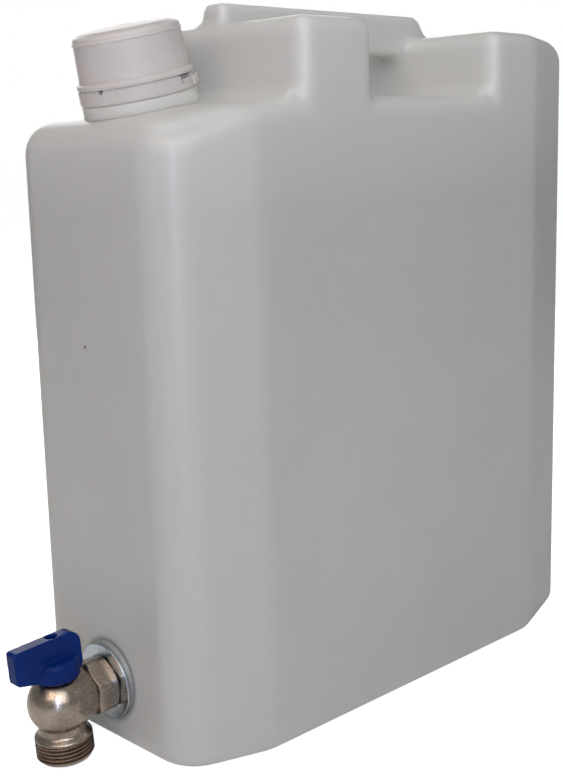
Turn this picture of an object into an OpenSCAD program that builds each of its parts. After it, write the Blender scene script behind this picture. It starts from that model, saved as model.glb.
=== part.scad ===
// Portable water container of about ten litres with a screw cap and a ball tap.
// X runs along the can, with the tap at the low end, Y is its width and Z is up.
// The origin is the middle of the face that it stands on. All sizes are millimetres.

/* [Can] */
// Length of the can without the tap
body_length = 293; // [200:1:400]
// Width of the can between its main sides
body_width = 132.4; // [100:0.2:180]
// Width of the narrow front face, measured to its sharp corners
front_width = 104.4; // [80:0.2:140]
// Width of the narrow rear face, measured to its sharp corners
rear_width = 95; // [70:0.5:130]
// Length of the part that widens behind the front face
front_taper = 42; // [20:0.5:60]
// Length of the part that narrows towards the rear face
rear_taper = 53; // [20:0.5:70]
// Height of the front edge of the sloping shoulder
front_height = 283.4; // [200:0.2:350]
// Slope of the shoulder and lean of the neck, in degrees
shoulder_slope = 12; // [8:0.5:16]
// Height of the level deck above the front edge of the shoulder
deck_rise = 10.6; // [8:0.2:13]
// Wall thickness of the can
wall = 2; // [1.2:0.1:3]
// Radius of the two upright front corners
front_corner_r = 21.5; // [18:0.5:26]
// Radius of the soft upright creases along the sides
crease_r = 22; // [12:0.5:30]
// Radius of the two upright rear corners
rear_corner_r = 13.5; // [10:0.5:20]
// Radius of the edge round the base
base_edge_r = 10; // [5:0.5:12]
// Radius of the upper edge of the shoulder and the deck
deck_edge_r = 8; // [4:0.5:11]
// Radius of the upper edge above the front face
front_edge_r = 15; // [6:0.5:16]

/* [Grip] */
// Distance from the front face to the front block
block_start = 71; // [60:0.5:90]
// Length of the front block
block_length = 45; // [25:0.5:60]
// Distance from the front face to the rear block
rear_block_start = 205; // [150:0.5:230]
// Radius of the edges of the blocks
block_edge_r = 5; // [3:0.5:8]
// Radius of the upper rear edge of the rear block
rear_top_r = 13; // [8:0.5:13]
// Radius of the inside corners at the foot of the blocks
foot_r = 8; // [3:0.5:12]
// Height of the gap for the fingers between the deck and the grip bar
finger_gap = 23.25; // [16:0.25:32]
// Depth of the grip bar
bar_depth = 20.5; // [16:0.5:26]
// Height by which the grip bar stands above the rear block
bar_rise = 11.75; // [8:0.25:13]
// Height by which the front block stands above the rear block
block_step = 1.75; // [0:0.25:3]
// Width of the grip bar
bar_width = 16; // [12:0.5:24]
// Radius of the edges of the grip bar
bar_edge_r = 4.5; // [2:0.5:5]
// Distance from the front of the front block to the front of the bar
bar_setback = 5; // [4:0.5:12]
// Length by which the bar runs onto the rear block
bar_overrun = 22; // [14:0.5:30]

/* [Neck and cap] */
// Distance from the front face to the neck, along the can
neck_x = 34.5; // [28:0.5:40]
// Outside diameter of the neck
neck_od = 42; // [34:0.2:44]
// Wall thickness of the neck
neck_wall = 2.5; // [1.5:0.1:3]
// Height of the neck above the shoulder
neck_height = 32.2; // [30:0.1:40]
// Room for the thread between the neck and the cap
thread_room = 2; // [1.8:0.1:3]
// Wall of the cap skirt at its upper end
cap_wall = 0.9; // [0.8:0.1:1.8]
// Amount by which the cap skirt widens towards its lower end, on the radius
cap_draft = 0.9; // [0:0.1:1.2]
// Thickness of the top of the cap
cap_top = 2; // [1.6:0.1:3]
// Height of the cap, from its lower edge to its top
cap_height = 24; // [20:0.1:30]
// Height of the band at the foot of the cap
band_height = 2.4; // [2:0.1:5]
// Amount by which the band and the ring stand out from the skirt
band_step = 1.3; // [0.8:0.1:3]
// Height of the ring that stays on the neck
ring_height = 5.5; // [4:0.1:6]
// Height of the gap between the cap and the ring
ring_gap = 0.6; // [0.4:0.1:1]
// Length of the pull tab on the ring
tab_length = 14; // [6:0.5:20]
// Amount by which the pull tab stands out from the ring
tab_t = 1.4; // [0.8:0.1:2]
// Height of the gap between the ring and the collar of the neck
collar_gap = 0.5; // [0.3:0.1:1.5]
// Thickness of the sealing disc in the cap
liner_t = 1.6; // [1:0.1:2]

/* [Tap mounting] */
// Height of the middle of the tap above the base, at the wall
tap_height = 31; // [28:0.5:60]
// Droop of the tap below the horizontal, in degrees
tap_droop = 4; // [0:0.5:6]
// Diameter of the thickened pad in the wall
pad_od = 40; // [36:0.5:50]
// Diameter of the 1/2 inch thread through the wall
inlet_thread_od = 20.955; // [18:0.005:24]
// Diameter of the washers
washer_od = 36; // [30:0.5:40]
// Thickness of the washers
washer_t = 1.6; // [1:0.1:2.5]
// Thickness of the rubber gasket inside the can
gasket_t = 2; // [1:0.1:3]
// Width across the flats of the lock nut
nut_af = 27; // [25:0.5:32]
// Thickness of the lock nut
nut_t = 7; // [4:0.5:10]
// Width across the flats of the hexagon outside the wall
hex_af = 24; // [23:0.1:30]
// Length of the hexagon outside the wall
hex_length = 11.4; // [8:0.1:16]

/* [Tap] */
// Distance from the wall to the lever axis
stem_reach = 28; // [27:0.5:40]
// Outside radius of the round ball chamber
chamber_r = 14.5; // [13.5:0.05:18]
// Outside radius of the barrel between chamber and hexagon
barrel_r = 12.1; // [11.6:0.05:13]
// Radius of the ball
ball_r = 8.5; // [8:0.1:9]
// Diameter of the bores of the ball
ball_bore = 9.5; // [6:0.1:10]
// Diameter of the 3/4 inch outlet thread
outlet_thread_od = 26.44; // [20:0.01:30]
// Height of the outlet thread with its collar
outlet_thread_length = 12.6; // [10:0.1:14]
// Depth of the outlet below the middle of the chamber
outlet_drop = 26.2; // [24:0.1:27]
// Outside diameter of the outlet neck above the thread
outlet_neck_od = 21.4; // [18:0.1:24]
// Diameter of the outlet bore
outlet_bore = 11.2; // [10:0.1:12]
// Diameter of the stem
stem_od = 8; // [6:0.1:9]

/* [Lever] */
// Length of the lever from its axis to its tip
lever_reach = 21.5; // [18:0.5:40]
// Length of the lever behind its axis
lever_back = 13; // [11:0.5:14]
// Height of the top of the lever above the middle of the chamber
lever_top = 32; // [28:0.5:38]
// Height of the blade at its tip
tip_height = 15.8; // [10:0.1:18]
// Thickness of the blade
blade_t = 7; // [6:0.1:9]
// Radius of the lever hub
hub_r = 11; // [10:0.1:12]
// Height of the lever hub
hub_height = 9; // [6:0.1:12]

/* [Hidden] */
$fn = 64;
// clearances: a fit that turns, a threaded fit, a loose hole and the play between moving faces
fit_run = 0.06;
fit_thread = 0.04;
fit_loose = 0.3;
play = 0.3;
// places along the can
fx = -body_length / 2;
half_w = body_width / 2;
half_f = front_width / 2;
half_r = rear_width / 2;
front_grad = (half_w - half_f) / front_taper;
rear_grad = (half_w - half_r) / rear_taper;
deck_z = front_height + deck_rise;
block_x = fx + block_start;
rear_block_x = fx + rear_block_start;
rear_x = fx + body_length;
bar_z = deck_z + finger_gap;
bar_top = bar_z + bar_depth;
block_top = bar_top - bar_rise;
front_block_top = block_top + block_step;
// middles of the rounded upright corners, each [x, y, radius]
function edge_y(half, grad, r) = half - r * (sqrt(1 + grad * grad) - grad);
function crease_x(grad, r) = r * (sqrt(1 + grad * grad) - 1) / grad;
front_c = [fx + front_corner_r, edge_y(half_f, front_grad, front_corner_r), front_corner_r];
front_crease_c = [fx + front_taper + crease_x(front_grad, crease_r), half_w - crease_r, crease_r];
rear_crease_c = [rear_x - rear_taper - crease_x(rear_grad, crease_r), half_w - crease_r, crease_r];
rear_c = [rear_x - rear_corner_r, edge_y(half_r, rear_grad, rear_corner_r), rear_corner_r];
// height of the middle of an edge rounding that lies just under the sloping shoulder
function under_slope(c, e) =
  front_height + (c[0] - fx) * tan(shoulder_slope)
  - ((c[2] - e) * sin(shoulder_slope) + e) / cos(shoulder_slope);
function under_deck(c, e) = min(under_slope(c, e), deck_z - e);
// neck, cap and ring, measured along the leaning neck
neck_id = neck_od - 2 * neck_wall;
cap_id = neck_od + 2 * thread_room;
cap_r = cap_id / 2 + cap_wall;
skirt_r = cap_r + cap_draft;
band_r = skirt_r + band_step;
collar_r = band_r - 0.3;
neck_z = front_height + neck_x * tan(shoulder_slope);
liner_z = neck_height + play;
cap_z = liner_z + liner_t + cap_top - cap_height;
ring_z = cap_z - ring_gap - ring_height;
ring_id = neck_od + 2 * play;
collar_height = ring_z - collar_gap;
bead_z = ring_z + ring_height + play;
// tap, measured along its drooping axis from the plane of the front face
pad_out = pad_od / 2 * sin(tap_droop) - 0.1;
pad_in = wall + washer_od / 2 * sin(tap_droop) + 0.2;
washer_out = pad_out + washer_t;
hex_out = washer_out + hex_length;
nut_end = pad_in + gasket_t + washer_t + nut_t;
hole_d = inlet_thread_od + 2 * fit_loose;
// valve, measured from the middle of its chamber
barrel_end = stem_reach - hex_out;
chamber_bore = ball_r + 0.7;
seat_bore = ball_bore + 0.6;
seat_r = seat_bore / 2 + 1.75;
seat_x = seat_r + 0.1;
seat_t = 2.7;
inlet_bore = seat_bore + 1.2;
joint_r = barrel_r - 1.4;
stem_r = stem_od / 2;
flange_z = ball_r + 0.8;
flange_t = 1.6;
flange_r = stem_r + 1.4;
boss_r = stem_r + 3.6;
boss_top = chamber_r + 1.75;
lever_base = barrel_r + 0.6;
square = 0.62 * stem_od;
square_top = lever_base + hub_height - 0.7;
screw_r = 1.5;
screw_head_r = 2.4;
screw_seat = lever_top - 6.5;
oring_z = [flange_z + flange_t + 0.95, boss_top - 1.2];

// quarter rounds: profile of a disc with a rounded rim, for hulls
module rim(r, e) {
  rotate_extrude($fn = 32)
    polygon(concat(
      [[0, -e]],
      [for (a = [-90 : 15 : 90]) [r - e + e * cos(a), e * sin(a)]],
      [[0, e]]
    ));
}

module both_sides(c) {
  translate([c[0], c[1], 0]) children();
  translate([c[0], -c[1], 0]) children();
}

// closed form of the can up to the shoulder and the deck, shrunk by t on every side
module can_form(t) {
  hull() {
    for (c = [front_c, front_crease_c, rear_crease_c, rear_c]) {
      e = c == front_c ? front_edge_r : deck_edge_r;
      both_sides(c) {
        translate([0, 0, base_edge_r]) rim(c[2] - t, base_edge_r - t);
        translate([0, 0, under_deck(c, e)]) rim(c[2] - t, e - t);
      }
    }
    both_sides([block_x + 10, half_w - crease_r, crease_r])
      translate([0, 0, deck_z - deck_edge_r]) rim(crease_r - t, deck_edge_r - t);
  }
}

// front block across the whole width, shrunk by t
module front_block_form(t) {
  r = block_edge_r + 1;
  hull() {
    for (x = [block_x + r, block_x + block_length - r]) {
      both_sides([x, half_w - r]) {
        translate([0, 0, front_block_top - block_edge_r]) rim(r - t, block_edge_r - t);
        translate([0, 0, deck_z - 2 * deck_edge_r - 8]) cylinder(r = r - t, h = 1, $fn = 32);
      }
    }
  }
}

// rear block, which follows the outline of the can, shrunk by t
module rear_block_form(t) {
  r = block_edge_r + 1;
  hull() {
    both_sides([rear_block_x + r, half_w - r]) {
      translate([0, 0, block_top - block_edge_r]) rim(r - t, block_edge_r - t);
      translate([0, 0, deck_z - 2 * deck_edge_r - 8]) cylinder(r = r - t, h = 1, $fn = 32);
    }
    both_sides(rear_crease_c) {
      translate([0, 0, block_top - deck_edge_r]) rim(crease_r - t, deck_edge_r - t);
      translate([0, 0, deck_z - 2 * deck_edge_r - 8]) cylinder(r = crease_r - t, h = 1, $fn = 32);
    }
    both_sides(rear_c) {
      translate([0, 0, block_top - rear_top_r]) rim(rear_corner_r - t, rear_top_r - t);
      translate([0, 0, deck_z - 2 * deck_edge_r - 8])
        cylinder(r = rear_corner_r - t, h = 1, $fn = 32);
    }
  }
}

// grip bar from the front block to the top of the rear block
module bar_form() {
  e = bar_edge_r;
  y = bar_width / 2 - e;
  hull() {
    for (p = [
      [block_x + bar_setback + e, bar_z + e],
      [block_x + bar_setback + e + 1.6, bar_top - e],
      [rear_block_x + bar_overrun - 12, bar_top - e],
      [rear_block_x + bar_overrun - e, block_top - e - 0.5],
      [rear_block_x + bar_overrun - e, bar_z + e]
    ]) {
      both_sides([p[0], y]) translate([0, 0, p[1]]) rim(e, e);
    }
  }
}

// hollow of the grip bar, open to both blocks
module bar_hollow() {
  w = bar_width - 2 * wall;
  h = bar_depth - 2 * wall;
  x0 = block_x + bar_setback + 1.6 + wall;
  x1 = rear_block_x + bar_overrun - 12 - wall;
  translate([x0, 0, bar_z + wall])
    rotate([90, 0, 90])
      linear_extrude(x1 - x0)
        union() {
          translate([-w / 2, 2]) square([w, h - 4]);
          translate([2 - w / 2, 0]) square([w - 4, h]);
          for (y = [2 - w / 2, w / 2 - 2])
            for (z = [2, h - 2])
              translate([y, z]) circle(r = 2);
        }
}

// inside corner with radius r, along Y over the length l, filling towards +X and +Z
module inside_corner(r, l, deep) {
  rotate([90, 0, 0])
    linear_extrude(l, center = true)
      difference() {
        translate([-deep, -deep]) square([r + deep, r + deep]);
        translate([r, r]) circle(r = r);
        translate([r, r / 2]) square([deep + 1, deep + r]);
        translate([r / 2, r]) square([deep + r, deep + 1]);
      }
}

module neck_frame() {
  translate([fx + neck_x, 0, neck_z])
    rotate([0, -shoulder_slope, 0])
      children();
}

module tap_frame() {
  translate([fx, 0, tap_height])
    rotate([0, -tap_droop, 0])
      children();
}

module valve_frame() {
  tap_frame() translate([-stem_reach, 0, 0]) children();
}

// cylinder along local X from x0 to x1
module xcyl(r, x0, x1) {
  translate([x0, 0, 0]) rotate([0, 90, 0]) cylinder(r = r, h = x1 - x0);
}

// hexagonal prism along local X with flats a across
module xhex(a, x0, x1, turn) {
  translate([x0, 0, 0])
    rotate([0, 90, 0])
      rotate([0, 0, turn])
        cylinder(r = a / 2 / cos(30), h = x1 - x0, $fn = 6);
}

module neck_solid() {
  n = neck_od / 2;
  rotate_extrude()
    polygon([
      [0, -wall * 0.8],
      [collar_r, -wall * 0.8],
      [collar_r, collar_height - 1.2],
      [collar_r - 1.2, collar_height],
      [n, collar_height],
      [n, bead_z],
      [n + 1.2, bead_z],
      [n + 1.2, bead_z + 0.8],
      [n, bead_z + 2],
      [n, neck_height - 1],
      [n - 1, neck_height],
      [0, neck_height]
    ]);
}

module container_body() {
  foot_w = body_width - 2 * deck_edge_r;
  deep = 1;
  color([0.82, 0.83, 0.81])
    difference() {
      union() {
        can_form(0);
        front_block_form(0);
        rear_block_form(0);
        bar_form();
        translate([block_x + block_length, 0, deck_z]) inside_corner(foot_r, foot_w, deep);
        translate([rear_block_x, 0, deck_z]) mirror([1, 0, 0]) inside_corner(foot_r, foot_w, deep);
        translate([block_x, 0, deck_z]) mirror([1, 0, 0]) inside_corner(foot_r * 0.75, foot_w, 3);
        translate([block_x + block_length, 0, bar_z])
          mirror([0, 0, 1]) inside_corner(foot_r * 0.6, bar_width - 2 * bar_edge_r, deep);
        translate([rear_block_x, 0, bar_z])
          mirror([1, 0, 0]) mirror([0, 0, 1])
            inside_corner(foot_r * 0.6, bar_width - 2 * bar_edge_r, deep);
        neck_frame() neck_solid();
        tap_frame() xcyl(pad_od / 2, -pad_out, pad_in);
      }
      difference() {
        union() {
          can_form(wall);
          front_block_form(wall);
          rear_block_form(wall);
        }
        tap_frame() xcyl(washer_od / 2 + 1, -pad_out, pad_in);
      }
      bar_hollow();
      neck_frame() translate([0, 0, -front_corner_r]) cylinder(d = neck_id, h = neck_height + 2 * front_corner_r);
      tap_frame() xcyl(hole_d / 2, -pad_out - 5, pad_in + 5);
    }
}

module screw_cap() {
  r = cap_r;
  b = band_r;
  h = cap_height;
  i = cap_id / 2;
  color([0.88, 0.86, 0.87])
    neck_frame()
      translate([0, 0, cap_z])
        rotate_extrude()
          polygon([
            [i, 0],
            [b - 0.5, 0],
            [b, 0.5],
            [b, band_height - 0.9],
            [b - 0.4, band_height - 0.2],
            [skirt_r, band_height + 0.2],
            [r, h - 5.4],
            [r + 0.4, h - 5.1],
            [r + 0.4, h - 4.5],
            [r, h - 4.2],
            [r - 0.25, h - 3.2],
            [r - 0.9, h - 2.2],
            [r - 2, h - 1.35],
            [r - 4.2, h - 0.75],
            [r - 9, h - 0.25],
            [r - 15, h],
            [0, h],
            [0, h - cap_top],
            [i - 1.6, h - cap_top],
            [i, h - cap_top - 2.6]
          ]);
}

module cap_liner() {
  color([0.93, 0.93, 0.91])
    neck_frame()
      translate([0, 0, liner_z])
        cylinder(r = neck_od / 2 + 0.2, h = liner_t);
}

module tamper_ring() {
  b = band_r;
  color([0.88, 0.86, 0.87])
    neck_frame()
      translate([0, 0, ring_z])
        difference() {
          union() {
            rotate_extrude()
              polygon([
                [0, 0],
                [b - 0.5, 0],
                [b, 0.5],
                [b, ring_height - 0.4],
                [b - 0.4, ring_height],
                [0, ring_height]
              ]);
            intersection() {
              translate([0, 0, 0.6]) cylinder(r = b + tab_t, h = ring_height - 1.4);
              rotate([0, 0, -46])
                translate([b / 2, -tab_length / 2, 0])
                  cube([b, tab_length, ring_height]);
            }
          }
          translate([0, 0, -1]) cylinder(d = ring_id, h = ring_height + 2);
        }
}

module outlet_outside() {
  n = outlet_neck_od / 2;
  o = outlet_thread_od / 2;
  t = outlet_thread_length;
  translate([0, 0, -outlet_drop])
    rotate_extrude()
      polygon([
        [0, 0],
        [o - 0.9, 0],
        [o, 0.9],
        [o, t - 2],
        [n, t],
        [n, outlet_drop],
        [0, outlet_drop]
      ]);
}

module valve_body() {
  color([0.62, 0.58, 0.53])
    valve_frame()
      difference() {
        union() {
          sphere(r = chamber_r);
          xcyl(barrel_r, 0, barrel_end - 0.7);
          translate([barrel_end - 0.7, 0, 0])
            rotate([0, 90, 0])
              cylinder(r1 = barrel_r, r2 = barrel_r - 0.7, h = 0.7);
          cylinder(r = boss_r, h = boss_top);
          outlet_outside();
        }
        sphere(r = chamber_bore);
        xcyl(chamber_bore, 0, barrel_end + 1);
        xcyl(joint_r, seat_x + seat_t, barrel_end + 1);
        translate([0, 0, -seat_x - seat_t]) cylinder(r = seat_r + 0.05, h = seat_x + seat_t);
        translate([0, 0, -outlet_drop - 1]) cylinder(d = outlet_bore, h = outlet_drop);
        translate([0, 0, -outlet_drop - 1])
          cylinder(d = outlet_thread_od - 7, h = outlet_thread_length - 3.4);
        cylinder(r = stem_r + fit_run, h = boss_top + 1);
        cylinder(r = flange_r + fit_loose, h = flange_z + flange_t + play);
      }
}

module end_connector() {
  t = inlet_thread_od / 2;
  j = joint_r - fit_thread;
  e = stem_reach - seat_x - seat_t;
  color([0.6, 0.56, 0.51])
    tap_frame()
      difference() {
        union() {
          intersection() {
            xhex(hex_af, -hex_out, -washer_out, 10);
            translate([-hex_out, 0, 0])
              rotate([0, 90, 0])
                rotate_extrude()
                  polygon([
                    [0, 0],
                    [0.48 * hex_af, 0],
                    [0.552 * hex_af, 0.04 * hex_af],
                    [0.552 * hex_af, hex_length - 0.04 * hex_af],
                    [0.48 * hex_af, hex_length],
                    [0, hex_length]
                  ]);
          }
          xcyl(t, -washer_out - 1, nut_end + 3);
          xcyl(j, -e, -hex_out + 1);
        }
        xcyl(inlet_bore / 2, -e - 1, nut_end + 4);
      }
}

module valve_ball() {
  color([0.75, 0.75, 0.74])
    valve_frame()
      difference() {
        sphere(r = ball_r);
        xcyl(ball_bore / 2, 0, ball_r + 1);
        translate([0, 0, -ball_r - 1]) cylinder(d = ball_bore, h = ball_r + 1);
        translate([-1.6, -ball_r, ball_r - 2.2]) cube([3.2, 2 * ball_r, 3]);
      }
}

// seat ring around local Z, facing the ball at the origin from below
module seat() {
  difference() {
    translate([0, 0, -seat_x - seat_t]) cylinder(r = seat_r, h = seat_t);
    translate([0, 0, -seat_x - seat_t - 1]) cylinder(d = seat_bore, h = seat_t + 2);
    sphere(r = ball_r + play);
  }
}

module inlet_seat() {
  color([0.95, 0.95, 0.93])
    valve_frame() {
      difference() {
        xcyl(seat_r, seat_x, seat_x + seat_t);
        xcyl(seat_bore / 2, seat_x - 1, seat_x + seat_t + 1);
        sphere(r = ball_r + play);
      }
    }
}

module outlet_seat() {
  color([0.95, 0.95, 0.93]) valve_frame() seat();
}

module valve_stem() {
  tang_z = ball_r - 2;
  color([0.72, 0.66, 0.45])
    valve_frame()
      difference() {
        union() {
          translate([-1.5, -flange_r + 0.6, tang_z])
            cube([3, 2 * flange_r - 1.2, flange_z - tang_z + 0.5]);
          translate([0, 0, flange_z]) cylinder(r = flange_r, h = flange_t);
          translate([0, 0, flange_z]) cylinder(r = stem_r, h = boss_top - flange_z);
          translate([-square / 2, -square / 2, boss_top - 1])
            cube([square, square, square_top - boss_top + 1]);
        }
        for (z = oring_z)
          translate([0, 0, z - 0.5])
            difference() {
              cylinder(r = stem_r + 1, h = 1);
              translate([0, 0, -0.5]) cylinder(r = stem_r - 0.85, h = 2);
            }
        translate([0, 0, boss_top - 2]) cylinder(r = screw_r + 0.02, h = square_top);
      }
}

module stem_orings() {
  color([0.12, 0.12, 0.12])
    valve_frame()
      for (z = oring_z)
        translate([0, 0, z])
          rotate_extrude()
            translate([stem_r - 0.41, 0]) circle(r = 0.42, $fn = 24);
}

module lever() {
  x0 = -lever_reach;
  x1 = lever_back;
  z0 = lever_base;
  z1 = lever_top;
  zt = lever_top - tip_height;
  color([0.06, 0.16, 0.44])
    valve_frame()
      difference() {
        union() {
          // blade, drawn in the plane of the tap
          translate([0, blade_t / 2, 0])
            rotate([90, 0, 0])
              linear_extrude(blade_t)
                difference() {
                  union() {
                    polygon([
                      [x0, zt + 2],
                      [x0 + 2, zt],
                      [-hub_r + 1, z0 + 1],
                      [-hub_r + 2, z0],
                      [x1 - 4, z0],
                      [x1, z0 + 4],
                      [x1, z1 - 6],
                      [x1 - 6, z1],
                      [x0 + 1.5, z1],
                      [x0, z1 - 1.5]
                    ]);
                    translate([x0 + 2, zt + 2]) circle(r = 2);
                    translate([x0 + 1.5, z1 - 1.5]) circle(r = 1.5);
                    translate([x1 - 6, z1 - 6]) circle(r = 6);
                    translate([x1 - 4, z0 + 4]) circle(r = 4);
                  }
                }
          translate([0, 0, z0])
            rotate_extrude()
              polygon([
                [0, 0],
                [hub_r - 0.8, 0],
                [hub_r, 0.8],
                [hub_r, hub_height - 2],
                [hub_r - 0.6, hub_height - 0.6],
                [hub_r - 2, hub_height],
                [0, hub_height + 0.8]
              ]);
        }
        translate([0, 0, z0 - 1]) cylinder(r = boss_r + 1.4, h = boss_top + play - z0 + 1);
        translate([-square / 2 - 0.05, -square / 2 - 0.05, z0])
          cube([square + 0.1, square + 0.1, square_top - z0 + 0.5]);
        cylinder(r = screw_r + 0.15, h = lever_top + 1);
        translate([0, 0, screw_seat]) cylinder(r = screw_head_r + 0.2, h = lever_top);
      }
}

module lever_screw() {
  color([0.7, 0.7, 0.7])
    valve_frame()
      difference() {
        union() {
          translate([0, 0, boss_top + 1]) cylinder(r = screw_r, h = screw_seat - boss_top - 1);
          translate([0, 0, screw_seat]) cylinder(r = screw_head_r, h = 2);
        }
        translate([-0.4, -screw_head_r - 1, screw_seat + 1.2])
          cube([0.8, 2 * screw_head_r + 2, 2]);
        translate([-screw_head_r - 1, -0.4, screw_seat + 1.2])
          cube([2 * screw_head_r + 2, 0.8, 2]);
      }
}

module outer_washer() {
  color([0.72, 0.75, 0.77])
    tap_frame()
      difference() {
        xcyl(washer_od / 2, -washer_out, -pad_out);
        xcyl(hole_d / 2, -washer_out - 1, 0);
      }
}

module inner_gasket() {
  color([0.1, 0.1, 0.1])
    tap_frame()
      difference() {
        xcyl(washer_od / 2 - 1, pad_in, pad_in + gasket_t);
        xcyl(inlet_thread_od / 2 + 0.1, pad_in - 1, pad_in + gasket_t + 1);
      }
}

module inner_washer() {
  x = pad_in + gasket_t;
  color([0.72, 0.75, 0.77])
    tap_frame()
      difference() {
        xcyl(washer_od / 2 - 1, x, x + washer_t);
        xcyl(hole_d / 2, x - 1, x + washer_t + 1);
      }
}

module lock_nut() {
  x = nut_end - nut_t;
  color([0.7, 0.63, 0.4])
    tap_frame()
      difference() {
        intersection() {
          xhex(nut_af, x, nut_end, 0);
          xcyl(nut_af * 0.56, x, nut_end);
        }
        xcyl(inlet_thread_od / 2 + fit_thread, x - 1, nut_end + 1);
      }
}

container_body();
screw_cap();
cap_liner();
tamper_ring();
valve_body();
end_connector();
valve_ball();
inlet_seat();
outlet_seat();
valve_stem();
stem_orings();
lever();
lever_screw();
outer_washer();
inner_gasket();
inner_washer();
lock_nut();
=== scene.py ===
"""Looks of a plastic water container with a ball tap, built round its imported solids."""

import math

import bmesh
import bpy
from bpy.props import FloatProperty, FloatVectorProperty, IntProperty, PointerProperty
from mathutils import Matrix, Vector


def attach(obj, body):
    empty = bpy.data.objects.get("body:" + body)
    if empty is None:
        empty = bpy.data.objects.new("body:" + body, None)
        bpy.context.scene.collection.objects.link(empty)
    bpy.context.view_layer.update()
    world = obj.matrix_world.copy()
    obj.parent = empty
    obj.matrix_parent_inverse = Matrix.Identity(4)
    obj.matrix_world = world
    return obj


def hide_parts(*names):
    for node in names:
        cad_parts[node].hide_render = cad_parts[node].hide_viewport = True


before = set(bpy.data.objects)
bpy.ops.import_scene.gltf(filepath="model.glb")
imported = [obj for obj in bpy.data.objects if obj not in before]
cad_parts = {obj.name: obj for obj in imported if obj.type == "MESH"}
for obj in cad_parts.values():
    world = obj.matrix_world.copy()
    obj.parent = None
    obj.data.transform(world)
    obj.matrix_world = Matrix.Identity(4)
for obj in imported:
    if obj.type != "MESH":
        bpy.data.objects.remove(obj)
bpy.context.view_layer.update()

bl_info = {
    "name": "Water container with a ball tap",
    "version": (1, 0, 0),
    "blender": (4, 5, 0),
    "location": "3D View > Sidebar > Container",
    "description": "Can, cap, tap and studio of a portable water container",
    "category": "Object",
}

# Sizes in millimetres, in the frame of the solids: X along the can, Z up
MM = 0.001
SLOPE = math.radians(12.0)
DROOP = math.radians(4.0)
LENGTH = 293.0
HALF_W = 66.2
FRONT_X = -LENGTH / 2
REAR_X = LENGTH / 2
FRONT_HEIGHT = 283.4
BLOCK_X = FRONT_X + 71
BLOCK_LENGTH = 45.0
REAR_BLOCK_X = FRONT_X + 205
DECK_Z = FRONT_HEIGHT + 10.6
BAR_Z = DECK_Z + 23.25
BAR_TOP = BAR_Z + 20.5
REAR_BLOCK_TOP = BAR_TOP - 11.75
FRONT_BLOCK_TOP = REAR_BLOCK_TOP + 1.75
WALL = 2.0
BASE_EDGE = 6.5
DECK_EDGE = 8.0
FRONT_EDGE = 15.0
FRONT_CORNER = 21.5
BLOCK_EDGE = 5.0
FOOT = 8.0
FRONT_HALF_W, FRONT_TAPER, CREASE_R = 52.2, 42.0, 22.0
REAR_HALF_W, REAR_TAPER, REAR_CORNER, REAR_TOP_EDGE = 47.5, 53.0, 13.5, 13.0
BAR_HALF_W = 8.0

# Neck, cap and ring, along the leaning neck
NECK_R, NECK_BORE, NECK_HEIGHT, COLLAR_R, COLLAR_TOP = 21.0, 18.5, 32.2, 25.8, 5.5
CAP_Z, CAP_HEIGHT, CAP_R, SKIRT_R, BAND_R, CAP_BORE = 12.1, 24.0, 23.9, 24.8, 26.1, 23.0
RING_Z, RING_HEIGHT, RING_BORE, RING_GAP = 6.0, 5.5, 21.3, 0.6
BEAD_Z = 11.8

# Tap, from the middle of its chamber
REACH = 28.0
CHAMBER_R, BARREL_R, BARREL_END = 14.5, 12.1, 13.7
OUTLET_DROP, OUTLET_R, OUTLET_NECK_R, OUTLET_HEIGHT = 26.2, 13.22, 10.7, 12.6
BALL_CHAMBER_R = 9.2
THREAD_PITCH = 1.814


def leaning(x, z, angle):
    """Matrix from a local frame in millimetres, turned in the X-Z plane, to metres."""
    turn = Matrix.Rotation(-angle, 4, "Y")
    return Matrix.Scale(MM, 4) @ Matrix.Translation((x, 0, z)) @ turn


PLAIN = Matrix.Scale(MM, 4)
NECK = leaning(FRONT_X + 34.5, FRONT_HEIGHT + 34.5 * math.tan(SLOPE), SLOPE)
TAP = leaning(FRONT_X, 31.0, DROOP)
VALVE = TAP @ Matrix.Translation((-REACH, 0, 0))
ALONG_X = Matrix.Rotation(math.pi / 2, 4, "Y")


# Mesh helpers


def rounded(corners, steps=5):
    """Outline through corners (u, v, rounding), each rounded corner as a short curve."""
    out = []
    for i, (u, v, size) in enumerate(corners):
        here = Vector((u, v))
        if size <= 0:
            out.append(here)
            continue
        before = Vector(corners[i - 1][:2]) - here
        after = Vector(corners[(i + 1) % len(corners)][:2]) - here
        half = before.angle(after) / 2
        reach = min(size / math.tan(half), 0.49 * before.length, 0.49 * after.length)
        start = here + before.normalized() * reach
        end = here + after.normalized() * reach
        for k in range(steps + 1):
            t = k / steps
            out.append((1 - t) ** 2 * start + 2 * t * (1 - t) * here + t * t * end)
    return out


def merge_into(bm, part, matrix=None):
    """Adds a finished part, moved by matrix, to a bmesh."""
    if matrix is not None:
        bmesh.ops.transform(part, matrix=matrix, verts=part.verts)
    mesh = bpy.data.meshes.new("part")
    part.to_mesh(mesh)
    part.free()
    bm.from_mesh(mesh)
    bpy.data.meshes.remove(mesh)


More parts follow.
